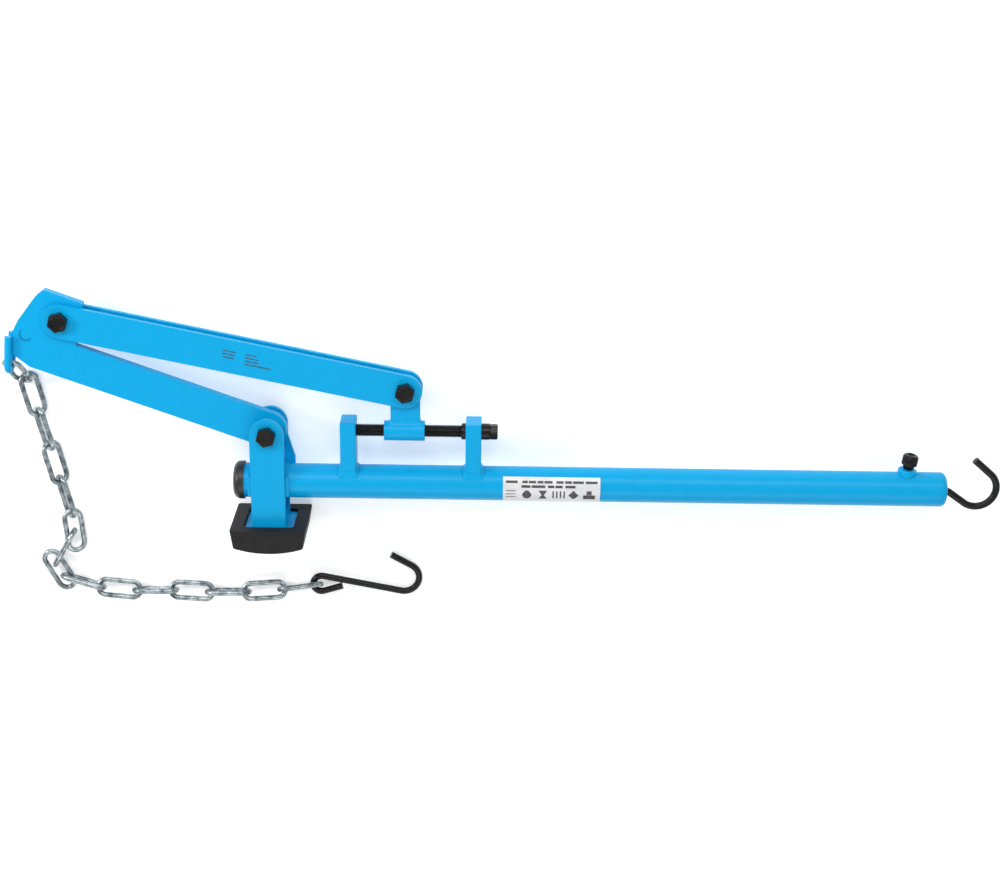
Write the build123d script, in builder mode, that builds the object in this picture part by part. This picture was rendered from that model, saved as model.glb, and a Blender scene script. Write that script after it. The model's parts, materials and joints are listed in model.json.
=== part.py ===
from build123d import *
import os
from math import atan2, cos, degrees, hypot, radians, sin, sqrt

# Press-down lever tool for a car's suspension arms, lying on its side. Millimetres.
# X runs along the lever tube towards its far hook, Y from the rubber pad up to the arms,
# Z up from the floor. The origin is the middle of the pad's flat side, on the floor.

# ---- driving dimensions ------------------------------------------------------------
PAD_DEPTH = 82.0                 # the pad's size along Z; it lies on this side
MID_Z = PAD_DEPTH / 2            # every plate and the tube share this mid-plane
TUBE_Y = 58.5
TUBE_R, TUBE_WALL = 19.0, 3.0
TUBE_LEFT, TUBE_RIGHT = -27.4, 741.7

PIVOT_Y = TUBE_Y + 60.0          # lower arm's pivot, at X 0; the screw is at this height
ARM_REACH, ARM_ANGLE = 250.0, 151.0    # pivot to head bolt, and its rest direction
STRAP_REACH = 375.0              # head bolt to carriage bolt
CARRIAGE_LIFT = 47.5             # carriage bolt above the screw's axis
HEAD = (ARM_REACH * cos(radians(ARM_ANGLE)), PIVOT_Y + ARM_REACH * sin(radians(ARM_ANGLE)))
CARRIAGE_Y = PIVOT_Y + CARRIAGE_LIFT
CARRIAGE_X = HEAD[0] + sqrt(STRAP_REACH**2 - (HEAD[1] - CARRIAGE_Y)**2)

ARM_T, ARM_W = 10.0, 40.0        # lower arm and its head plate
BAR_ANGLE = 160.5                # direction of the lower arm's straight bar
STRAP_T, STRAP_W, STRAP_GAP = 5.0, 37.0, 0.5
PLATE_T, PLATE_W = 5.0, 37.0     # bracket plates either side of the tube
BOLT_R, BORE_R = 6.0, 6.1        # M12 bolts in reamed holes
HEX_AF, HEX_H, NUT_H = 19.0, 8.0, 10.0

SCREW_R, JOURNAL_R, FIT = 7.0, 5.0, 0.08
POST_W, POST_DEPTH, POST_TOP = 17.0, 30.0, TUBE_Y + 72.6
POST_INNER_X, POST_OUTER_X = 87.0, 223.2
SLEEVE_R, SLEEVE_BORE, SLEEVE_LENGTH = 11.0, 8.1, 44.0

ROD_R, ROD_Y, ROD_INNER_END = 4.0, TUBE_Y - 1.5, 640.0
ROD_CORNER_X = 744.5             # where the rod bends down outside the tube
HOOK_CENTRE, HOOK_R = (776.5, TUBE_Y + 2.1), 21.5
HOOK_TIP_ANGLE, HOOK_TIP_LENGTH = 139.0, 25.0

CLAMP_LEAN = 8.0                 # the clamp screw leans this far towards the hook
CLAMP_TIP_X = 696.3

WIRE = 6.0                       # chain wire
LINK_BEND, LINK_HALF = 9.0, 24.0       # bend radius, and middle to end wire
WIRE_STEP = 6.6               # end wire to the wire it holds

os.makedirs("parts", exist_ok=True)


def save(part, name):
    part.label = name
    export_step(part, f"parts/{name}.step")


def along(origin, angle, distance, aside=0.0):
    """The point at a distance along a direction in the XY plane, and aside to its left."""
    a = radians(angle)
    x = origin[0] + distance * cos(a) - aside * sin(a)
    y = origin[1] + distance * sin(a) + aside * cos(a)
    return (x, y)


def crossways(x):
    """A plane across the tube at X = x, with sketch axes along Y and Z."""
    return Plane.YZ.offset(x)


ARM_LOW, ARM_HIGH = MID_Z - ARM_T / 2, MID_Z + ARM_T / 2
STRAP_LOW = ARM_LOW - STRAP_GAP - STRAP_T
STRAP_HIGH = ARM_HIGH + STRAP_GAP
PLATE_LOW, PLATE_HIGH = MID_Z - TUBE_R - PLATE_T, MID_Z + TUBE_R
BASE_TOP, BASE_T = 10.0, 6.0

# ---- lever tube and its two ends ---------------------------------------------------
FAR_CAP_T, FAR_CAP_EDGE = 6.5, 6.0
TUBE_OPEN_END = TUBE_RIGHT - FAR_CAP_T
CLAMP_AXIS = 90.0 - CLAMP_LEAN
CLAMP_TIP = (CLAMP_TIP_X, ROD_Y + ROD_R + 1.0)
CLAMP_SCREW_R, CLAMP_HOLE_R = 4.0, 4.08


def clamp_plane(distance):
    """A plane square to the clamp screw, at a distance from the screw's tip."""
    x, y = along(CLAMP_TIP, CLAMP_AXIS, distance)
    lean = radians(CLAMP_AXIS)
    return Plane(origin=(x, y, MID_Z), x_dir=(0, 0, 1), z_dir=(cos(lean), sin(lean), 0))


with BuildPart() as lever_tube:
    with BuildSketch(crossways(TUBE_LEFT)):
        with Locations((TUBE_Y, MID_Z)):
            Circle(TUBE_R)
            Circle(TUBE_R - TUBE_WALL, mode=Mode.SUBTRACT)
    extrude(amount=TUBE_OPEN_END - TUBE_LEFT)
    with BuildSketch(clamp_plane(0)):
        Circle(CLAMP_SCREW_R + 0.4)
    extrude(amount=TUBE_R + 4, mode=Mode.SUBTRACT)
save(lever_tube.part, "lever_tube")

with BuildPart() as tube_far_cap:
    with BuildSketch(crossways(TUBE_OPEN_END)):
        with Locations((TUBE_Y, MID_Z)):
            Circle(TUBE_R)
    extrude(amount=FAR_CAP_T)
    fillet(tube_far_cap.edges().group_by(Axis.X)[-1], FAR_CAP_EDGE)
    with BuildSketch(crossways(TUBE_OPEN_END)):
        with Locations((ROD_Y, MID_Z)):
            Circle(ROD_R + 0.1)
    extrude(amount=FAR_CAP_T, mode=Mode.SUBTRACT)
save(tube_far_cap.part, "tube_far_cap")

CAP_R, CAP_FLANGE, CAP_PLUG, CAP_EDGE = 21.0, 11.6, 14.0, 7.5
with BuildPart() as tube_end_cap:
    with BuildSketch(crossways(TUBE_LEFT - CAP_FLANGE)):
        with Locations((TUBE_Y, MID_Z)):
            Circle(CAP_R)
    extrude(amount=CAP_FLANGE)
    fillet(tube_end_cap.edges().group_by(Axis.X)[0], CAP_EDGE)
    with BuildSketch(crossways(TUBE_LEFT)):
        with Locations((TUBE_Y, MID_Z)):
            Circle(TUBE_R - TUBE_WALL - 0.05)
    extrude(amount=CAP_PLUG)
    chamfer(tube_end_cap.edges().group_by(Axis.X)[-1], 1.5)
save(tube_end_cap.part, "tube_end_cap")

LABEL_X, LABEL_LENGTH, LABEL_T = 256.0, 106.0, 0.35
LABEL_LOW, LABEL_HIGH = 4.0, 134.0      # degrees round the tube, from -Y towards +Z
with BuildPart() as label_plate:
    with BuildSketch(crossways(LABEL_X)):
        with Locations((TUBE_Y, MID_Z)):
            Circle(TUBE_R + LABEL_T)
            Circle(TUBE_R, mode=Mode.SUBTRACT)
        with BuildLine():
            far = 3 * TUBE_R
            corners = [
                (TUBE_Y - far * cos(radians(a)), MID_Z + far * sin(radians(a)))
                for a in (LABEL_LOW, (LABEL_LOW + LABEL_HIGH) / 2, LABEL_HIGH)
            ]
            Polyline((TUBE_Y, MID_Z), *corners, close=True)
        make_face(mode=Mode.INTERSECT)
    extrude(amount=LABEL_LENGTH)
save(label_plate.part, "label_plate")

# ---- foot: bracket plates, base plate, rubber pad ----------------------------------
REAR_FLARE = [(18.5, 104.0), (26.0, 79.0), (26.0, 68.0), (18.5, 50.0)]
for name, low, flare in (
    ("bracket_plate_front", PLATE_HIGH, []),
    ("bracket_plate_rear", PLATE_LOW, REAR_FLARE),
):
    with BuildPart() as bracket_plate:
        with BuildSketch(Plane.XY.offset(low)):
            with BuildLine():
                half = PLATE_W / 2
                top_right, top_left = (half, PIVOT_Y), (-half, PIVOT_Y)
                Polyline(top_left, (-half, BASE_TOP), (half, BASE_TOP), *flare[::-1], top_right)
                ThreePointArc(top_right, (0, PIVOT_Y + half), top_left)
            make_face()
            with Locations((0, PIVOT_Y)):
                Circle(BOLT_R + 0.02, mode=Mode.SUBTRACT)
        extrude(amount=PLATE_T)
    save(bracket_plate.part, name)

BASE_SIDE = 54.0
with BuildPart() as base_plate:
    with BuildSketch(Plane.XZ.offset(-(BASE_TOP - BASE_T))):
        with Locations((0, MID_Z)):
            RectangleRounded(BASE_SIDE, BASE_SIDE, 4)
    extrude(amount=-BASE_T)
save(base_plate.part, "base_plate")

PAD_TOP, PAD_CORNER, PAD_SOLE = 13.5, -6.5, -12.5
PAD_HALF_TOP, PAD_HALF_CORNER, RECESS_SIDE = 41.5, 38.3, 54.6
with BuildPart() as rubber_pad:
    with BuildSketch(Plane.XY):
        with BuildLine():
            left, right = (-PAD_HALF_CORNER, PAD_CORNER), (PAD_HALF_CORNER, PAD_CORNER)
            Polyline(left, (-PAD_HALF_TOP, PAD_TOP), (PAD_HALF_TOP, PAD_TOP), right)
            ThreePointArc(right, (0, PAD_SOLE), left)
        make_face()
    extrude(amount=PAD_DEPTH)
    slanted = rubber_pad.edges().filter_by(lambda edge: abs(edge.tangent_at(0.5).Y) > 0.9)
    fillet(slanted, 3)
    with BuildSketch(Plane.XZ.offset(-PAD_TOP)):
        with Locations((0, MID_Z)):
            RectangleRounded(RECESS_SIDE, RECESS_SIDE, 4)
    extrude(amount=PAD_TOP - (BASE_TOP - BASE_T), mode=Mode.SUBTRACT)
save(rubber_pad.part, "rubber_pad")

# Fillet welds: plates to tube on both edges of each plate, and plates to base plate.
BEAD, FOOT_BEAD = 4.0, 2.6
with BuildPart() as bracket_welds:
    for side in (-1, 1):
        for low in (PLATE_HIGH - 3, PLATE_LOW + PLATE_T - 1):
            with BuildSketch(Plane.XY.offset(low)):
                with Locations((side * (PLATE_W / 2 + BEAD / 2), TUBE_Y)):
                    RectangleRounded(BEAD, 2 * TUBE_R - 14, BEAD / 2 - 0.1)
            extrude(amount=BEAD)
    with BuildSketch(crossways(-PLATE_W / 2 - BEAD - 1)):
        with Locations((TUBE_Y, MID_Z)):
            Circle(TUBE_R)
    extrude(amount=PLATE_W + 2 * BEAD + 2, mode=Mode.SUBTRACT)
    for outward in (-1, 1):
        with BuildSketch(crossways(-PLATE_W / 2 + 1)):
            with BuildLine():
                root_z = PLATE_HIGH + PLATE_T if outward > 0 else PLATE_LOW
                Polyline(
                    (BASE_TOP, root_z), (BASE_TOP + FOOT_BEAD, root_z),
                    (BASE_TOP, root_z + outward * FOOT_BEAD), close=True,
                )
            make_face()
        extrude(amount=PLATE_W - 2)
with BuildPart() as rear_plate_room:
    with BuildSketch(Plane.XY.offset(PLATE_LOW)):
        with BuildLine():
            Polyline((0, 40), *REAR_FLARE[::-1], (0, 110), close=True)
        make_face()
    extrude(amount=PLATE_T)
save(bracket_welds.part - rear_plate_room.part, "bracket_welds")

# ---- the two posts that carry the screw --------------------------------------------
POST_FOOT = TUBE_Y + 9.0
for name, x, bore in (
    ("screw_post_inner", POST_INNER_X, JOURNAL_R + FIT),
    ("screw_post_outer", POST_OUTER_X, SCREW_R + FIT),
):
    with BuildPart() as post:
        with BuildSketch(Plane.XY.offset(MID_Z - POST_DEPTH / 2)):
            with Locations((x, (POST_TOP + POST_FOOT) / 2)):
                Rectangle(POST_W, POST_TOP - POST_FOOT)
        extrude(amount=POST_DEPTH)
        fillet(post.edges().filter_by(Axis.Y), 1.5)
        fillet(post.edges().group_by(Axis.Y)[-1], 1.2)
        with BuildSketch(crossways(x - POST_W)):
            with Locations((TUBE_Y, MID_Z)):
                Circle(TUBE_R)
            with Locations((PIVOT_Y, MID_Z)):
                Circle(bore)
        extrude(amount=2 * POST_W, mode=Mode.SUBTRACT)
    save(post.part, name)

with BuildPart() as post_welds:
    for x in (POST_INNER_X, POST_OUTER_X):
        with BuildSketch(Plane.XY.offset(MID_Z - POST_DEPTH / 2 + 1)):
            with BuildLine():
                half, foot = POST_W / 2, TUBE_Y + TUBE_R + 5.0
                Polyline(
                    (x - half - 5, POST_FOOT + 2), (x + half + 5, POST_FOOT + 2),
                    (x + half, foot), (x - half, foot), close=True,
                )
            make_face()
        extrude(amount=POST_DEPTH - 2)
        with BuildSketch(Plane.XY.offset(0)):
            with Locations((x, POST_TOP)):
                Rectangle(POST_W, 2 * (POST_TOP - TUBE_Y))
        extrude(amount=PAD_DEPTH, mode=Mode.SUBTRACT)
    with BuildSketch(crossways(POST_INNER_X - POST_W)):
        with Locations((TUBE_Y, MID_Z)):
            Circle(TUBE_R)
    extrude(amount=POST_OUTER_X - POST_INNER_X + 2 * POST_W, mode=Mode.SUBTRACT)
save(post_welds.part, "post_welds")

# ---- adjusting screw, its collars, and the carriage that runs on it ----------------
COLLAR_R, THRUST_T, RETAINER_T = 9.0, 4.4, 9.0
END_PLAY = 0.15
INNER_FACE = POST_INNER_X + POST_W / 2
OUTER_FACE_LEFT, OUTER_FACE_RIGHT = POST_OUTER_X - POST_W / 2, POST_OUTER_X + POST_W / 2
HEX_X = OUTER_FACE_RIGHT + END_PLAY + RETAINER_T
DRIVE_AF, DRIVE_H = 15.0, 8.6

with BuildPart() as adjusting_screw:
    with BuildSketch(crossways(POST_INNER_X - POST_W / 2 + 1)):
        with Locations((PIVOT_Y, MID_Z)):
            Circle(JOURNAL_R)
    extrude(amount=POST_W)
    with BuildSketch(crossways(INNER_FACE + END_PLAY)):
        with Locations((PIVOT_Y, MID_Z)):
            Circle(SCREW_R)
    extrude(amount=HEX_X - INNER_FACE - END_PLAY)
    with BuildSketch(crossways(HEX_X)):
        with Locations((PIVOT_Y, MID_Z)):
            RegularPolygon(DRIVE_AF / 2, 6, major_radius=False)
    extrude(amount=DRIVE_H)
save(adjusting_screw.part, "adjusting_screw")

for name, x, thickness in (
    ("thrust_collar", OUTER_FACE_LEFT - END_PLAY - THRUST_T, THRUST_T),
    ("retaining_collar", OUTER_FACE_RIGHT + END_PLAY, RETAINER_T),
):
    with BuildPart() as collar:
        with BuildSketch(crossways(x)):
            with Locations((PIVOT_Y, MID_Z)):
                Circle(COLLAR_R)
                Circle(SCREW_R + 0.02, mode=Mode.SUBTRACT)
        extrude(amount=thickness)
    save(collar.part, name)

with BuildPart() as carriage_sleeve:
    with BuildSketch(crossways(CARRIAGE_X - SLEEVE_LENGTH / 2 - 1)):
        with Locations((PIVOT_Y, MID_Z)):
            Circle(SLEEVE_R)
            Circle(SLEEVE_BORE, mode=Mode.SUBTRACT)
    extrude(amount=SLEEVE_LENGTH)
save(carriage_sleeve.part, "carriage_sleeve")

LUG_W = 32.0
with BuildPart() as carriage_lug:
    with BuildSketch(Plane.XY.offset(ARM_LOW)):
        with Locations((CARRIAGE_X, (CARRIAGE_Y + PIVOT_Y) / 2 + 3)):
            Rectangle(LUG_W, CARRIAGE_LIFT - 6)
        with Locations((CARRIAGE_X, CARRIAGE_Y)):
            Circle(LUG_W / 2)
            Circle(BORE_R, mode=Mode.SUBTRACT)
    extrude(amount=ARM_T)
    with BuildSketch(crossways(CARRIAGE_X - LUG_W)):
        with Locations((PIVOT_Y, MID_Z)):
            Circle(SLEEVE_R)
    extrude(amount=2 * LUG_W, mode=Mode.SUBTRACT)
save(carriage_lug.part, "carriage_lug")

with BuildPart() as carriage_weld:
    for side in (-1, 1):
        face = ARM_T / 2
        with BuildSketch(crossways(CARRIAGE_X - LUG_W / 2 - 2)):
            with BuildLine():
                Polyline(
                    (PIVOT_Y + 8, MID_Z + side * face), (PIVOT_Y + 15, MID_Z + side * face),
                    (PIVOT_Y + 8, MID_Z + side * (face + 4)), close=True,
                )
            make_face()
        extrude(amount=LUG_W + 4)
    with BuildSketch(crossways(CARRIAGE_X - LUG_W)):
        with Locations((PIVOT_Y, MID_Z)):
            Circle(SLEEVE_R)
    extrude(amount=2 * LUG_W, mode=Mode.SUBTRACT)
save(carriage_weld.part, "carriage_weld")

# ---- lower arm: one plate with a tall head, and the chain's eye ---------------------
PIVOT = (0.0, PIVOT_Y)


def bar(distance, aside):
    """A point on the lower arm: along its bar from the pivot, and above its middle line."""
    return along(PIVOT, BAR_ANGLE, distance, -aside)


HALF_BAR = ARM_W / 2
with BuildPart() as lower_arm:
    with BuildSketch(Plane.XY.offset(ARM_LOW)):
        with BuildLine():
            Polyline(
                bar(0, HALF_BAR), bar(222, HALF_BAR), bar(228, 67.5), bar(272, 67.5),
                bar(278, 57), bar(288, 26), bar(290.5, 9), bar(291, -8), bar(280, -14),
                bar(262, -HALF_BAR),
                bar(0, -HALF_BAR),
            )
            ThreePointArc(bar(0, -HALF_BAR), bar(-HALF_BAR, 0), bar(0, HALF_BAR))
        make_face()
        with Locations(PIVOT, HEAD):
            Circle(BORE_R, mode=Mode.SUBTRACT)
    extrude(amount=ARM_T)
    upright = lower_arm.edges().filter_by(Axis.Z)
    fillet(upright.sort_by_distance((*bar(228, 67.5), MID_Z))[0], 3)
    fillet(lower_arm.edges().filter_by(Axis.Z).sort_by_distance((*bar(272, 67.5), MID_Z))[0], 4)
save(lower_arm.part, "lower_arm")

EYE_BEND, EYE_HEADING = (-276.0, 191.0), -95.0   # middle of the eye's bend, on the mid-plane
EYE_LEG, EYE_BAR_R = 31.0, 4.0
EYE_ASIDE = ARM_T / 2 + EYE_BAR_R
eye_a = radians(EYE_HEADING)
# The eye's own plane: its x runs back up its legs, its y is up, away from the floor.
EYE_PLANE = Plane(
    origin=(*EYE_BEND, MID_Z),
    x_dir=(-cos(eye_a), -sin(eye_a), 0),
    z_dir=(-sin(eye_a), cos(eye_a), 0),
)
with BuildPart() as chain_eye:
    with BuildLine(EYE_PLANE):
        Line((EYE_LEG, -EYE_ASIDE), (0, -EYE_ASIDE))
        ThreePointArc((0, -EYE_ASIDE), (-EYE_ASIDE, 0), (0, EYE_ASIDE))
        Line((0, EYE_ASIDE), (EYE_LEG, EYE_ASIDE))
    with BuildSketch(Plane(
        origin=EYE_PLANE.from_local_coords((EYE_LEG, -EYE_ASIDE, 0)),
        z_dir=-EYE_PLANE.x_dir,
    )):
        Circle(EYE_BAR_R)
    sweep()
save(chain_eye.part, "chain_eye")

# ---- upper arm: two straps and its two bolts ---------------------------------------
CARRIAGE = (CARRIAGE_X, CARRIAGE_Y)
for name, low in (("upper_strap_rear", STRAP_LOW), ("upper_strap_front", STRAP_HIGH)):
    with BuildPart() as strap:
        with BuildSketch(Plane.XY.offset(low)):
            SlotCenterPoint(
                ((HEAD[0] + CARRIAGE_X) / 2, (HEAD[1] + CARRIAGE_Y) / 2), CARRIAGE, STRAP_W
            )
            with Locations(HEAD, CARRIAGE):
                Circle(BOLT_R + 0.02, mode=Mode.SUBTRACT)
        extrude(amount=STRAP_T)
    save(strap.part, name)

BOLT_TAIL = 3.0
for place, centre, low, high in (
    ("pivot", PIVOT, PLATE_LOW, PLATE_HIGH + PLATE_T),
    ("head", HEAD, STRAP_LOW, STRAP_HIGH + STRAP_T),
    ("carriage", CARRIAGE, STRAP_LOW, STRAP_HIGH + STRAP_T),
):
    with BuildPart() as bolt:
        with BuildSketch(Plane.XY.offset(low - NUT_H - BOLT_TAIL)):
            with Locations(centre):
                Circle(BOLT_R)
        extrude(amount=high - low + NUT_H + BOLT_TAIL)
        with BuildSketch(Plane.XY.offset(high)):
            with Locations(centre):
                RegularPolygon(HEX_AF / 2, 6, major_radius=False, rotation=15)
        extrude(amount=HEX_H)
        fillet(bolt.faces().sort_by(Axis.Z)[-1].edges(), 0.8)
    save(bolt.part, f"{place}_bolt")
    with BuildPart() as nut:
        with BuildSketch(Plane.XY.offset(low - NUT_H)):
            with Locations(centre):
                RegularPolygon(HEX_AF / 2, 6, major_radius=False, rotation=5)
                Circle(BOLT_R + 0.02, mode=Mode.SUBTRACT)
        extrude(amount=NUT_H)
    save(nut.part, f"{place}_nut")

SPACER_PLAY = 0.3
with BuildPart() as pivot_spacers:
    for low in (PLATE_LOW + PLATE_T, ARM_HIGH + SPACER_PLAY):
        with BuildSketch(Plane.XY.offset(low)):
            with Locations(PIVOT):
                Circle(10)
                Circle(BOLT_R + 0.02, mode=Mode.SUBTRACT)
        extrude(amount=PLATE_HIGH - ARM_HIGH - SPACER_PLAY)
save(pivot_spacers.part, "pivot_spacers")

# ---- far end: boss, clamp screw and hooked rod --------------------------------------
tube_top_along = (TUBE_Y + TUBE_R - CLAMP_TIP[1]) / cos(radians(CLAMP_LEAN))
BOSS_R, BOSS_TOP, BOSS_ROOT = 10.5, tube_top_along + 4.5, tube_top_along - 6.0
with BuildPart() as clamp_boss:
    with BuildSketch(clamp_plane(BOSS_ROOT)):
        Circle(BOSS_R)
        Circle(CLAMP_HOLE_R, mode=Mode.SUBTRACT)
    extrude(amount=BOSS_TOP - BOSS_ROOT)
    with BuildSketch(crossways(CLAMP_TIP_X - 30)):
        with Locations((TUBE_Y, MID_Z)):
            Circle(TUBE_R)
    extrude(amount=60, mode=Mode.SUBTRACT)
    fillet(clamp_boss.faces().sort_by(Axis.Y)[-1].outer_wire().edges(), 2)
save(clamp_boss.part, "clamp_boss")

KNOB_R, KNOB_H, KNOB_LOW, NECK_R = 8.6, 12.0, BOSS_TOP + 5.0, 5.4
with BuildPart() as clamp_screw:
    with BuildSketch(clamp_plane(0)):
        Circle(CLAMP_SCREW_R)
    extrude(amount=KNOB_LOW)
    with BuildSketch(clamp_plane(BOSS_TOP + 0.4)):
        Circle(NECK_R)
    with BuildSketch(clamp_plane(KNOB_LOW)):
        Circle(KNOB_R - 1.6)
    loft()
    with BuildSketch(clamp_plane(KNOB_LOW)):
        Circle(KNOB_R)
    extrude(amount=KNOB_H)
    fillet(clamp_screw.edges().filter_by(GeomType.CIRCLE).sort_by(Axis.Y)[-1], 2.5)
save(clamp_screw.part, "clamp_screw")

corner = (ROD_CORNER_X, ROD_Y)
to_centre = (HOOK_CENTRE[0] - corner[0], HOOK_CENTRE[1] - corner[1])
drop = degrees(atan2(to_centre[1], to_centre[0]))
drop -= degrees(atan2(HOOK_R, sqrt(hypot(*to_centre)**2 - HOOK_R**2)))
arc_start = along(HOOK_CENTRE, drop - 90, HOOK_R)
arc_end = along(HOOK_CENTRE, HOOK_TIP_ANGLE - 90, HOOK_R)
arc_mid = along(HOOK_CENTRE, (drop + HOOK_TIP_ANGLE) / 2 - 90, HOOK_R)
hook_tip = along(arc_end, HOOK_TIP_ANGLE, HOOK_TIP_LENGTH)
EXIT_BEND = 9.0
with BuildPart() as hook_rod:
    with BuildLine(Plane.XY.offset(MID_Z)):
        FilletPolyline((ROD_INNER_END, ROD_Y), corner, arc_start, radius=EXIT_BEND)
        ThreePointArc(arc_start, arc_mid, arc_end)
        Line(arc_end, hook_tip)
    with BuildSketch(crossways(ROD_INNER_END)):
        with Locations((ROD_Y, MID_Z)):
            Circle(ROD_R)
    sweep()
save(hook_rod.part, "hook_rod")

# ---- chain: fifteen long links and an S-shaped hook ----------------------------------
# Each row is one link on the floor: its heading and roll in degrees, its height, and how
# far its middle is from the wire before it and the wire after it.
TIGHT, PINNED = LINK_HALF - WIRE_STEP, LINK_HALF
FLOOR_LINKS = [
    (-77, -37, 8.8, PINNED, TIGHT),
    (-76, 50, 10.0, PINNED, PINNED),
    (-77, -42, 9.9, TIGHT, TIGHT),
    (-77, 52, 10.2, PINNED, PINNED),
    (-85, -25, 10.7, TIGHT, 0.0),
    (-120, 90, 12.0, PINNED, PINNED),
    (-62, 0, 10.8, 8.0, 8.0),
    (-17, 76, 12.0, PINNED, PINNED),
    (-5, -14, 10.8, TIGHT, TIGHT),
    (1, 76, 12.0, PINNED, PINNED),
    (-3, -14, 10.8, TIGHT, TIGHT),
    (1, 76, 12.0, PINNED, PINNED),
    (5, -14, 10.8, TIGHT, TIGHT),
    (9, 65, 11.3, PINNED, PINNED),
]
FIRST_LINK_END = Vector(-271.0, 158.0, 6.0)
FIRST_LINK_TWIST = 8.0
SECOND_LINK_START = Vector(-267.6, 167.0, 8.8)


def width_direction(heading, roll):
    """Across a link: roll 0 lies flat, roll 90 stands on edge."""
    flat = Vector(-heading.Y, heading.X, 0).normalized()
    return flat * cos(radians(roll)) + heading.cross(flat) * sin(radians(roll))


def first_link():
    """The link in the eye: its middle, its heading and its width direction."""
    start = Vector(*EYE_BEND, MID_Z)
    heading = (FIRST_LINK_END - start).normalized()
    across = Vector(sin(eye_a), -cos(eye_a), 0)
    width = (across - heading * across.dot(heading)).normalized()
    tilted = heading.cross(width)
    width = width * cos(radians(FIRST_LINK_TWIST)) + tilted * sin(radians(FIRST_LINK_TWIST))
    return start + heading * LINK_HALF, heading, width


def chain_links():
    """Every link's middle, heading, width direction, and the wire that it turns on."""
    middle, heading, width = first_link()
    placed = [(middle, heading, width, middle - heading * LINK_HALF)]
    pin = SECOND_LINK_START
    for turn, roll, height, before, after in FLOOR_LINKS:
        heading = Vector(cos(radians(turn)), sin(radians(turn)), 0)
        middle = pin + heading * before
        middle.Z = height
        placed.append((middle, heading, width_direction(heading, roll), Vector(pin)))
        pin = middle + heading * after
    return placed, pin


links, chain_end = chain_links()
STRAIGHT = LINK_HALF - LINK_BEND
for number, (middle, heading, width, pin) in enumerate(links, 1):
    link_plane = Plane(origin=middle, x_dir=heading, z_dir=heading.cross(width))
    with BuildPart() as chain_link:
        with BuildLine(link_plane):
            Line((0, LINK_BEND), (STRAIGHT, LINK_BEND))
            ThreePointArc((STRAIGHT, LINK_BEND), (LINK_HALF, 0), (STRAIGHT, -LINK_BEND))
            Line((STRAIGHT, -LINK_BEND), (-STRAIGHT, -LINK_BEND))
            ThreePointArc((-STRAIGHT, -LINK_BEND), (-LINK_HALF, 0), (-STRAIGHT, LINK_BEND))
            Line((-STRAIGHT, LINK_BEND), (0, LINK_BEND))
        with BuildSketch(Plane(
            origin=link_plane.from_local_coords((0, LINK_BEND, 0)), z_dir=heading
        )):
            Circle(WIRE / 2)
        sweep()
    save(chain_link.part, f"chain_link_{number:02d}")
    print(f"link_{number:02d} turns on", [round(v, 2) for v in pin], "middle", middle)

# The S-hook leans: its eye is held up by the last link and its big bend lies on the floor.
S_WIRE_R = 3.75
EYE_R, EYE_HEIGHT = 9.5, 10.5
BEND_CENTRE, BEND_R = (94.0, 6.5), 17.0       # from the eye's middle
S_TIP_ANGLE, S_TIP_LENGTH, S_END_LENGTH = 149.5, 27.0, 22.0
S_LEAN = degrees(atan2(EYE_HEIGHT - S_WIRE_R, BEND_CENTRE[0] + BEND_R))
EYE_SLACK = 2.0
s_eye_x = chain_end.X - WIRE / 2 - S_WIRE_R - EYE_SLACK + EYE_R
s_plane = Plane(
    origin=(s_eye_x, chain_end.Y + 0.5, EYE_HEIGHT),
    x_dir=(cos(radians(S_LEAN)), 0, -sin(radians(S_LEAN))),
    z_dir=(sin(radians(S_LEAN)), 0, cos(radians(S_LEAN))),
)
span = hypot(*BEND_CENTRE)
s_slope = degrees(atan2(BEND_CENTRE[1], BEND_CENTRE[0]))
s_slope -= degrees(atan2(EYE_R + BEND_R, sqrt(span**2 - (EYE_R + BEND_R)**2)))
ORIGIN = (0.0, 0.0)
end_angle = -74.0
wire_start = along(along(ORIGIN, end_angle, EYE_R), end_angle + 90, S_END_LENGTH)
with BuildPart() as s_hook:
    with BuildLine(s_plane):
        Line(wire_start, along(ORIGIN, end_angle, EYE_R))
        ThreePointArc(
            along(ORIGIN, end_angle, EYE_R), (-EYE_R, 0), along(ORIGIN, s_slope + 90, EYE_R)
        )
        Line(along(ORIGIN, s_slope + 90, EYE_R), along(BEND_CENTRE, s_slope - 90, BEND_R))
        ThreePointArc(
            along(BEND_CENTRE, s_slope - 90, BEND_R),
            along(BEND_CENTRE, (s_slope + S_TIP_ANGLE) / 2 - 90, BEND_R),
            along(BEND_CENTRE, S_TIP_ANGLE - 90, BEND_R),
        )
        s_tip_start = along(BEND_CENTRE, S_TIP_ANGLE - 90, BEND_R)
        Line(s_tip_start, along(s_tip_start, S_TIP_ANGLE, S_TIP_LENGTH))
    inward = s_plane.x_dir * -cos(radians(end_angle + 90))
    inward += s_plane.y_dir * -sin(radians(end_angle + 90))
    with BuildSketch(Plane(origin=s_plane.from_local_coords((*wire_start, 0)), z_dir=inward)):
        Circle(S_WIRE_R)
    sweep()
save(s_hook.part, "s_hook")
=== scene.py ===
import json
from math import cos, hypot, pi, radians, sin

import bpy
from mathutils import Matrix, Vector


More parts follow.
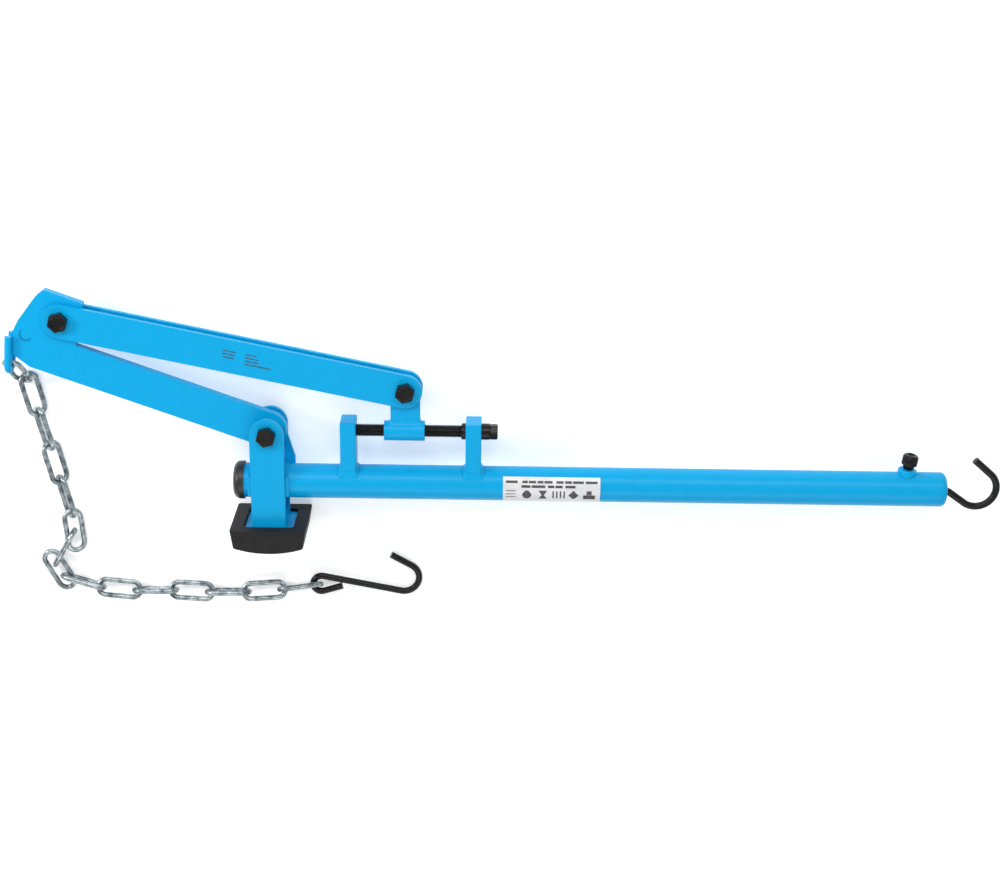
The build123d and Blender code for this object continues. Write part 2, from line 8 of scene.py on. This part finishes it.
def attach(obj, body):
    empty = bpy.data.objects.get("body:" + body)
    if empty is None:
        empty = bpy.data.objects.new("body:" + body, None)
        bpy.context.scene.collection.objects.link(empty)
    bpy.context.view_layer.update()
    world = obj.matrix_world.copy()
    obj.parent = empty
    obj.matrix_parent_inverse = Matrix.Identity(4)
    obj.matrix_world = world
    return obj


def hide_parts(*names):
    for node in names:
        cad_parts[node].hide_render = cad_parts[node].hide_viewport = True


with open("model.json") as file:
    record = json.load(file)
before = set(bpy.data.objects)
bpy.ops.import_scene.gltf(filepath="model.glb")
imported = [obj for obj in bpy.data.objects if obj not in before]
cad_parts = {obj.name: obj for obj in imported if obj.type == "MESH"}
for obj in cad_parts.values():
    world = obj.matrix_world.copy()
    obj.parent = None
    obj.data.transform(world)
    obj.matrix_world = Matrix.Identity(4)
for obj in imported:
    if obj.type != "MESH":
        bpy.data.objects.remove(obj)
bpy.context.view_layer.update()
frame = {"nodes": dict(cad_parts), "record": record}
nodes = frame["nodes"]

# Axes and centres that the model shares with the CAD, in metres.
MM = 0.001
MID_Z = 0.041
TUBE_Y, TUBE_R = 0.0585, 0.019
SCREW_Y = 0.1185
PIVOT = Vector((0.0, SCREW_Y, MID_Z))
HEAD = Vector((-0.218655, 0.239702, MID_Z))
CARRIAGE = Vector((0.149031, 0.166, MID_Z))
PIVOT_HEAD_TOP, STRAP_HEAD_TOP = 0.073, 0.0595    # tops of the bolt heads
STRAP_FACE, ARM_FACE = 0.0515, 0.046              # front faces of the strap and the arm
POST_INNER_X, POST_OUTER_X = 0.087, 0.2232
X, Y, Z = Vector((1, 0, 0)), Vector((0, 1, 0)), Vector((0, 0, 1))


# ---- materials ----------------------------------------------------------------------
DRIFT_TO_GRAIN = 0.12        # the colour drifts over patches about eight grains wide


def socket(shader, name, value):
    shader.inputs[name].default_value = value


def surface(name, dark, light, rough, metallic=0.0, grain=300.0, bump=0.1, depth=0.0002,
            coat=0.0, specular=0.5, edge=0.0):
    """A procedural finish: a colour that drifts between two tones, uneven gloss, a fine
    surface grain, and edges that catch the light as if rounded to the radius edge."""
    mat = bpy.data.materials.new(name)
    mat.use_nodes = True
    tree = mat.node_tree
    new, link = tree.nodes.new, tree.links.new
    shader = tree.nodes["Principled BSDF"]
    place = new("ShaderNodeTexCoord")
    drift = new("ShaderNodeTexNoise")
    drift.inputs["Scale"].default_value = grain * DRIFT_TO_GRAIN
    drift.inputs["Detail"].default_value = 5.0
    link(place.outputs["Object"], drift.inputs["Vector"])
    ramp = new("ShaderNodeValToRGB")
    for stop, position, colour in zip(ramp.color_ramp.elements, (0.32, 0.68), (dark, light)):
        stop.position, stop.color = position, (*colour, 1)
    link(drift.outputs["Fac"], ramp.inputs["Fac"])
    link(ramp.outputs["Color"], shader.inputs["Base Color"])
    fine = new("ShaderNodeTexNoise")
    fine.inputs["Scale"].default_value = grain
    fine.inputs["Detail"].default_value = 3.0
    link(place.outputs["Object"], fine.inputs["Vector"])
    gloss = new("ShaderNodeMapRange")
    gloss.inputs["To Min"].default_value, gloss.inputs["To Max"].default_value = rough
    link(fine.outputs["Fac"], gloss.inputs["Value"])
    link(gloss.outputs["Result"], shader.inputs["Roughness"])
    relief = new("ShaderNodeBump")
    relief.inputs["Strength"].default_value = bump
    relief.inputs["Distance"].default_value = depth
    link(fine.outputs["Fac"], relief.inputs["Height"])
    if edge:
        rounding = new("ShaderNodeBevel")
        rounding.samples = 4
        rounding.inputs["Radius"].default_value = edge
        link(rounding.outputs["Normal"], relief.inputs["Normal"])
    link(relief.outputs["Normal"], shader.inputs["Normal"])
    socket(shader, "Metallic", metallic)
    socket(shader, "Coat Weight", coat)
    socket(shader, "Coat Roughness", 0.12)
    socket(shader, "Specular IOR Level", specular)
    return mat


paint = surface("blue_paint", (0.0, 0.335, 0.655), (0.0, 0.350, 0.685), (0.30, 0.42), grain=700,
                bump=0.10, depth=0.00015, coat=0.06, specular=0.14, edge=0.0007)
oxide = surface("black_oxide", (0.0025, 0.0024, 0.0023), (0.010, 0.0090, 0.0085), (0.18, 0.34),
                metallic=0.0, grain=900, bump=0.14, depth=0.0001, specular=0.26, edge=0.0005)
rubber = surface("black_rubber", (0.007, 0.0072, 0.0078), (0.013, 0.0135, 0.014), (0.50, 0.72),
                 grain=1100, bump=0.3, depth=0.0002, specular=0.26, edge=0.0012)
plastic = surface("black_plastic", (0.010, 0.010, 0.011), (0.018, 0.018, 0.019), (0.32, 0.46),
                  grain=1300, bump=0.15, depth=0.0001)
zinc = surface("zinc_chain", (0.075, 0.10, 0.115), (0.50, 0.56, 0.58), (0.20, 0.36), metallic=0.85,
               grain=1000, bump=0.2, depth=0.0002)
steel = surface("plain_steel", (0.30, 0.30, 0.30), (0.45, 0.45, 0.44), (0.25, 0.4), metallic=1.0,
                grain=800, bump=0.1, depth=0.0001)
vinyl = surface("label_vinyl", (0.62, 0.62, 0.65), (0.74, 0.74, 0.76), (0.30, 0.40), grain=500,
                bump=0.05, depth=0.0001)
ink = surface("label_print", (0.035, 0.033, 0.034), (0.075, 0.072, 0.072), (0.35, 0.5), grain=1500,
              bump=0.05, depth=0.0001)
# Painted shade: the dark blue of the crescent, the shadowed groove round a pin end on the head
# plate.
painted_shade = surface("painted_groove_shade", (0.0, 0.15, 0.36), (0.0, 0.19, 0.42), (0.35, 0.5), grain=1500,
                bump=0.1, depth=0.0001, specular=0.2)
etch = surface("etched_mark", (0.015, 0.09, 0.15), (0.02, 0.13, 0.22), (0.45, 0.6), grain=1500,
               bump=0.1, depth=0.0001)

FINISH = {"blue_paint": paint, "black_oxide": oxide, "black_rubber": rubber,
          "black_plastic": plastic, "zinc_chain": zinc, "plain_steel": steel,
          "label_vinyl": vinyl}
for part in frame["record"]["subparts"]:
    obj = nodes[part["node"]]
    obj.data.materials.clear()
    obj.data.materials.append(FINISH[part["material_slot"]])


# ---- mesh helpers -------------------------------------------------------------------
def piece(name, verts, faces, mat, body, smooth=True):
    mesh = bpy.data.meshes.new(name)
    mesh.from_pydata([tuple(v) for v in verts], [], faces)
    mesh.validate()
    mesh.update()
    obj = bpy.data.objects.new(name, mesh)
    bpy.context.scene.collection.objects.link(obj)
    mesh.materials.append(mat)
    if smooth:
        mesh.shade_smooth()
    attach(obj, body)
    return obj


def turned(rings, around, origin, axis, side):
    """Vertices and faces of a closed turned solid. Each ring is its distance along the axis
    and its radius, which may be a function of the angle."""
    other = axis.cross(side)
    verts, faces = [], []
    for height, radius in rings:
        for i in range(around):
            a = 2 * pi * i / around
            r = radius(a) if callable(radius) else radius
            verts.append(origin + axis * height + side * (r * cos(a)) + other * (r * sin(a)))
    for k in range(len(rings) - 1):
        for i in range(around):
            j = (i + 1) % around
            low, high = k * around, (k + 1) * around
            faces.append((low + i, low + j, high + j, high + i))
    faces.append(tuple(range(around))[::-1])
    last = (len(rings) - 1) * around
    faces.append(tuple(range(last, last + around)))
    return verts, faces


def hexagon(flats):
    """Radius of a hexagon of that width across flats, as a function of the angle."""
    def radius(a):
        return flats / 2 / cos((a + pi / 6) % (pi / 3) - pi / 6)
    return radius


# ---- adjusting screw with a real helical thread -----------------------------------------
THREAD_LEFT, THREAD_RIGHT = 0.0957, 0.2316
CREST, ROOT, PITCH = 0.0070, 0.0061, 0.0020
JOURNAL_LEFT, JOURNAL_R, SCREW_AROUND = 0.0800, 0.0050, 48
DRIVE_X, DRIVE_END, DRIVE_FLATS = 0.24085, 0.24945, 0.015


def thread_radius(x):
    """Radius of the thread at x as a function of the angle: flat crests on sloping flanks."""
    def radius(a):
        phase = ((x - PITCH * a / (2 * pi)) / PITCH) % 1.0
        tooth = min(1.0, max(0.0, 1.25 - abs(2 * phase - 1) * 1.5))
        return ROOT + (CREST - ROOT) * tooth
    return radius


rings = [(JOURNAL_LEFT, JOURNAL_R - 0.0005), (JOURNAL_LEFT + 0.0005, JOURNAL_R),
         (THREAD_LEFT - 0.0002, JOURNAL_R), (THREAD_LEFT - 0.0001, ROOT - 0.0002)]
STEP = PITCH / 8
count = int((THREAD_RIGHT - THREAD_LEFT) / STEP)
for i in range(count):
    rings.append((THREAD_LEFT + i * STEP, thread_radius(THREAD_LEFT + i * STEP)))
rings += [(THREAD_RIGHT + 0.0002, ROOT), (THREAD_RIGHT + 0.0004, CREST), (DRIVE_X, CREST)]
drive = hexagon(DRIVE_FLATS)


def softened(limit):
    """The drive hexagon with its corners turned down to a radius."""
    return lambda a: min(drive(a), limit)


rings += [(DRIVE_X + 0.0001, softened(0.0078)), (DRIVE_X + 0.0009, drive),
          (DRIVE_END - 0.0010, drive), (DRIVE_END - 0.0004, softened(0.0079)),
          (DRIVE_END, softened(0.0072))]
verts, faces = turned(rings, SCREW_AROUND, Vector((0, SCREW_Y, MID_Z)), X, Y)
screw = piece("adjusting_screw_threaded", verts, faces, oxide, "adjusting_screw")
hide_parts("adjusting_screw")

# ---- clamp screw with a knurled head ------------------------------------------------
LEAN = radians(8.0)
CLAMP_AXIS = Vector((sin(LEAN), cos(LEAN), 0))
CLAMP_TIP = Vector((0.6963, 0.062, MID_Z))
BOSS_TOP = 0.0155 / cos(LEAN) + 0.0045
KNOB_LOW, KNOB_HIGH, KNOB_R = BOSS_TOP + 0.005, BOSS_TOP + 0.017, 0.0086
FLUTES, FLUTE_DEPTH = 24, 0.0007


def knurl(r, deep):
    """Radius of a ring of flutes cut that deep."""
    return lambda a: r - deep * (0.5 + 0.5 * cos(FLUTES * a))


rings = [(0.0, 0.0030), (0.0010, 0.0040), (BOSS_TOP + 0.0004, 0.0040),
         (BOSS_TOP + 0.0005, 0.0054), (KNOB_LOW - 0.0002, 0.0068), (KNOB_LOW, 0.0078),
         (KNOB_LOW + 0.0007, knurl(KNOB_R, 0.0002)),
         (KNOB_LOW + 0.0012, knurl(KNOB_R, FLUTE_DEPTH)),
         (KNOB_HIGH - 0.0034, knurl(KNOB_R, FLUTE_DEPTH)),
         (KNOB_HIGH - 0.0026, knurl(KNOB_R, 0.0003)),
         (KNOB_HIGH - 0.0014, 0.0079), (KNOB_HIGH - 0.0005, 0.0070), (KNOB_HIGH, 0.0058),
         (KNOB_HIGH - 0.0001, 0.0040), (KNOB_HIGH - 0.0030, 0.0038)]
verts, faces = turned(rings, FLUTES * 8, CLAMP_TIP, CLAMP_AXIS, Z)
clamp = piece("clamp_screw_knurled", verts, faces, oxide, "clamp_screw")
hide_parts("clamp_screw")


# ---- bolt heads: a low raised rim on each -------------------------------------------
RIM_IN, RIM_OUT, RIM_HEIGHT, RIM_AROUND = 0.0062, 0.0080, 0.0004, 64


def rim(name, centre, top, body):
    """A low raised ring on a bolt head whose top is at that height."""
    section = [(RIM_IN, 0), (RIM_IN + RIM_HEIGHT, RIM_HEIGHT),
               (RIM_OUT - RIM_HEIGHT, RIM_HEIGHT), (RIM_OUT, 0),
               (RIM_OUT, -RIM_HEIGHT), (RIM_IN, -RIM_HEIGHT)]
    verts, faces = [], []
    for r, h in section:
        for i in range(RIM_AROUND):
            a = 2 * pi * i / RIM_AROUND
            verts.append((centre[0] + r * cos(a), centre[1] + r * sin(a), top + h))
    for k in range(len(section)):
        this, following = k * RIM_AROUND, (k + 1) % len(section) * RIM_AROUND
        for i in range(RIM_AROUND):
            j = (i + 1) % RIM_AROUND
            faces.append((this + i, following + i, following + j, this + j))
    piece(name, verts, faces, oxide, body)


rim("pivot_bolt_rim", PIVOT, PIVOT_HEAD_TOP, "frame")
rim("head_bolt_rim", HEAD, STRAP_HEAD_TOP, "upper_arm")
rim("carriage_bolt_rim", CARRIAGE, STRAP_HEAD_TOP, "upper_arm")

# ---- weld beads: hollow fillets round each foot, with the ripples of the pass ------------
BEAD_CORNER, BEAD_STEP, RIPPLE = 0.0015, 0.0008, 0.07
CURVE = (0, 0.15, 0.3, 0.45, 0.6, 0.75, 0.9, 1.0)      # from the tube up the hollow face


def bead(name, centre, axis_y, radius, half, reach, height, stands_for, body):
    """A fillet round a bar that stands along Y on a tube along X. half is the bar's half size
    along X and Z, reach how far the bead spreads on each, and height how far it climbs."""
    outline = []
    for sx, sz, start in ((1, 1, 0), (-1, 1, pi / 2), (-1, -1, pi), (1, -1, 1.5 * pi)):
        for i in range(7):
            a = start + pi / 2 * i / 6
            outline.append((sx * (half[0] - BEAD_CORNER) + BEAD_CORNER * cos(a),
                            sz * (half[1] - BEAD_CORNER) + BEAD_CORNER * sin(a),
                            cos(a), sin(a)))
    path = []
    for k, (x, z, nx, nz) in enumerate(outline):
        x2, z2, mx, mz = outline[(k + 1) % len(outline)]
        count = max(1, int(hypot(x2 - x, z2 - z) / BEAD_STEP))
        for i in range(count):
            t = i / count
            path.append((x + (x2 - x) * t, z + (z2 - z) * t,
                         nx + (mx - nx) * t, nz + (mz - nz) * t))
    # The first and last levels lie inside the bar and close the bead.
    levels = [(-0.12, 0.10), *(((1 - t) ** 2, t ** 2) for t in CURVE), (-0.12, 0.96)]
    verts, faces, n = [], [], len(path)
    for spread, climb in levels:
        for k, (x, z, nx, nz) in enumerate(path):
            ripple = 1 + RIPPLE * sin(2 * pi * k / 2.6 + 0.4 * sin(k * 0.7)) * (spread > 0.05)
            px = x + nx * reach[0] * spread * ripple
            pz = z + nz * reach[1] * spread * ripple
            low = (max(radius ** 2 - pz ** 2, 0)) ** 0.5 - 0.0003
            top = (radius ** 2 - min(abs(z), radius * 0.98) ** 2) ** 0.5 + height
            verts.append((centre + px, axis_y + low + (top - low) * climb, MID_Z + pz))
    for k in range(len(levels)):
        m = (k + 1) % len(levels)
        for i in range(n):
            j = (i + 1) % n
            faces.append((k * n + i, m * n + i, m * n + j, k * n + j))
    obj = piece(name, verts, faces, paint, body)
    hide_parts(stands_for)


SLEEVE_R, LUG_HALF, POST_HALF = 0.011, (0.016, 0.005), (0.0085, 0.015)
bead("carriage_bead", CARRIAGE.x, SCREW_Y, SLEEVE_R, LUG_HALF, (0.004, 0.0036), 0.0048,
     "carriage_weld", "carriage")
for name, x in (("inner", POST_INNER_X), ("outer", POST_OUTER_X)):
    bead(f"post_bead_{name}", x, TUBE_Y, TUBE_R, POST_HALF, (0.0055, 0.0024), 0.0055,
         "post_welds", "frame")


# ---- printed label, etched mark and a crescent of painted shade, all generic -----------
STRIP, SINK, INK_T = 0.0008, 0.00002, 0.00005     # strip height, and the print's two faces


def strips(shapes):
    """Quads of each shape, given as its middle along, its low and high edge, and its half
    width as a function of the share from low to high."""
    quads = []
    for middle, low, high, half in shapes:
        count = max(1, int(abs(high - low) / STRIP))
        for i in range(count):
            s, t = i / count, (i + 1) / count
            v, w = low + (high - low) * s, low + (high - low) * t
            quads.append([(middle - half(s), v), (middle + half(s), v),
                          (middle + half(t), w), (middle - half(t), w)])
    return quads


def decal(name, quads, place, mat, body):
    """Thin closed blocks on a surface. place gives the point along and aside, and 0 for the
    under side or 1 for the top."""
    verts, faces = [], []
    for quad in quads:
        start = len(verts)
        verts += [place(u, v, 0.0) for u, v in quad] + [place(u, v, 1.0) for u, v in quad]
        faces += [(start + 3, start + 2, start + 1, start),
                  (start + 4, start + 5, start + 6, start + 7)]
        for i in range(4):
            j = (i + 1) % 4
            faces.append((start + i, start + j, start + 4 + j, start + 4 + i))
    return piece(name, verts, faces, mat, body, smooth=False)


def bar(left, right, low, high):
    """An oblong, in millimetres."""
    half = (right * MM - left * MM) / 2
    return ((left * MM + right * MM) / 2, low * MM, high * MM, lambda t: half)


LABEL_LEFT, LABEL_R = 0.256, TUBE_R + 0.00035


def on_label(along, arc, lift):
    """along the tube from the label's left edge, and arc round it from straight up towards -Y."""
    a = pi / 2 - arc / LABEL_R
    r = LABEL_R - SINK + (SINK + INK_T) * lift
    return (LABEL_LEFT + along, TUBE_Y - r * cos(a), MID_Z + r * sin(a))


FIRST_ROW = ((3, 16), (21, 27), (28, 36), (37.5, 44), (45, 54), (58, 66), (67.5, 75),
             (76, 88), (90, 103))
SECOND_ROW = ((20, 30), (31, 46), (49, 56), (57, 65), (68, 79))
SIGN_LOW, SIGN_HIGH = 0.5 * MM, 12 * MM
shapes = [bar(left, right, -10.4, -7.6) for left, right in FIRST_ROW]
shapes += [bar(left, right, -5.4, -2.6) for left, right in SECOND_ROW]
shapes += [bar(3, 14, 0.6 + 4 * row, 1.6 + 4 * row) for row in range(3)]
shapes += [    # a disc, an hourglass, a diamond and a step
    (26 * MM, SIGN_LOW, SIGN_HIGH,
     lambda t: 0.0035 * sin(pi * min(max(t, 0.02), 0.98)) + 0.0015),
    (43.5 * MM, SIGN_LOW, SIGN_HIGH, lambda t: 0.0012 + 0.0036 * abs(2 * t - 1)),
    (77 * MM, SIGN_LOW, SIGN_HIGH, lambda t: 0.0052 * (1 - abs(2 * t - 1)) + 0.0004),
    (94 * MM, SIGN_LOW, 5.5 * MM, lambda t: 0.0028),
    (94 * MM, 5.8 * MM, SIGN_HIGH, lambda t: 0.0065),
]
shapes += [bar(left, left + 1.6, 1.0, 11.0) for left in (54, 58, 62, 66)]
decal("label_print", strips(shapes), on_label, ink, "frame")

ALONG = (CARRIAGE - HEAD).normalized()
ASIDE = Z.cross(ALONG)
MARK = HEAD + ALONG * 0.203        # the mark's middle, a little past half way along


def on_strap(along, aside, lift):
    p = MARK + ALONG * along + ASIDE * aside
    return (p.x, p.y, STRAP_FACE - SINK + (SINK + INK_T) * lift)


MARK_ROWS = (
    ((-27, -21), (-20, -13), (-2, 4), (5, 9)),
    ((-27, -22), (-21, -14), (-2, 8), (9, 12)),
    ((-26, -14), (-2, 5), (6, 13)),
    ((-2, 3), (4, 27)),
)
shapes = []
for row, spans in enumerate(MARK_ROWS):
    low = 5.0 - 3.6 * row
    shapes += [bar(left, right, low, low + 1.7) for left, right in spans]
decal("strap_mark", strips(shapes), on_strap, etch, "upper_arm")

# The crescent on the head plate beside the chain's eye: painted shade standing in for the shadowed
# groove round the end of a pin.
CRESCENT, CRESCENT_R = Vector((-0.2555, 0.2232, 0)), 0.0066
FROM, TO, PARTS = radians(122), radians(328), 24
shapes = []
for k in range(PARTS):
    quad = []
    for share, side in ((k, -1), (k, 1), (k + 1, 1), (k + 1, -1)):
        a = FROM + (TO - FROM) * share / PARTS
        r = CRESCENT_R + side * (0.0002 + 0.0009 * sin(pi * share / PARTS) ** 0.6)
        quad.append((r * cos(a), r * sin(a)))
    shapes.append(quad)


def on_head(along, aside, lift):
    return (CRESCENT.x + along, CRESCENT.y + aside, ARM_FACE - SINK + 0.00006 * lift)


decal("head_crescent", shapes, on_head, painted_shade, "lower_arm")

# ---- floor, lights and camera ----------------------------------------------------------
FLOOR_SIZE, FLOOR_Z = 12, -0.0003
bpy.ops.mesh.primitive_plane_add(size=FLOOR_SIZE, location=(0.2, 0, FLOOR_Z))
floor = bpy.context.object
floor.name = "studio_floor"
floor_mat = surface("studio_floor", (0.90, 0.90, 0.90), (0.92, 0.92, 0.92), (0.7, 0.8),
                    grain=20, bump=0.0)
floor_shader = floor_mat.node_tree.nodes["Principled BSDF"]
socket(floor_shader, "Emission Color", (1, 1, 1, 1))
socket(floor_shader, "Emission Strength", 0.34)
floor.data.materials.append(floor_mat)

world = bpy.data.worlds.new("studio")
bpy.context.scene.world = world
world.use_nodes = True
background = world.node_tree.nodes["Background"]
background.inputs["Color"].default_value = (1.0, 1.0, 1.0, 1)
background.inputs["Strength"].default_value = 0.60


def area(name, place, aim, size, power):
    light = bpy.data.lights.new(name, "AREA")
    light.shape, light.energy = "RECTANGLE", power
    light.size, light.size_y = size
    obj = bpy.data.objects.new(name, light)
    bpy.context.scene.collection.objects.link(obj)
    obj.location = place
    obj.rotation_mode = "QUATERNION"
    obj.rotation_quaternion = (Vector(aim) - Vector(place)).to_track_quat("-Z", "Y")


area("key", (0.1, 1.7, 1.6), (0.25, 0.1, 0), (2.4, 0.8), 24)
area("fill", (0.3, -1.5, 2.0), (0.25, 0.1, 0), (2.4, 1.2), 16)
area("side", (-1.5, 0.75, 0.95), (-0.1, 0.2, 0), (0.35, 0.35), 13)

cam = bpy.data.cameras.new("camera")
cam.sensor_width, cam.lens = 36.0, 68.4
camera = bpy.data.objects.new("camera", cam)
bpy.context.scene.collection.objects.link(camera)
look, upright = Vector((0, -0.35184, -0.93606)), Vector((0, 0.93606, -0.35184))
roll = radians(0.8154)
right = X * cos(roll) + upright * sin(roll)
up = -X * sin(roll) + upright * cos(roll)
turn = Matrix((right, up, -look)).transposed().to_4x4()
turn.translation = Vector((0.25205, 0.8332, 1.9815))
camera.matrix_world = turn
bpy.context.scene.camera = camera
bpy.context.scene.view_settings.view_transform = "Standard"
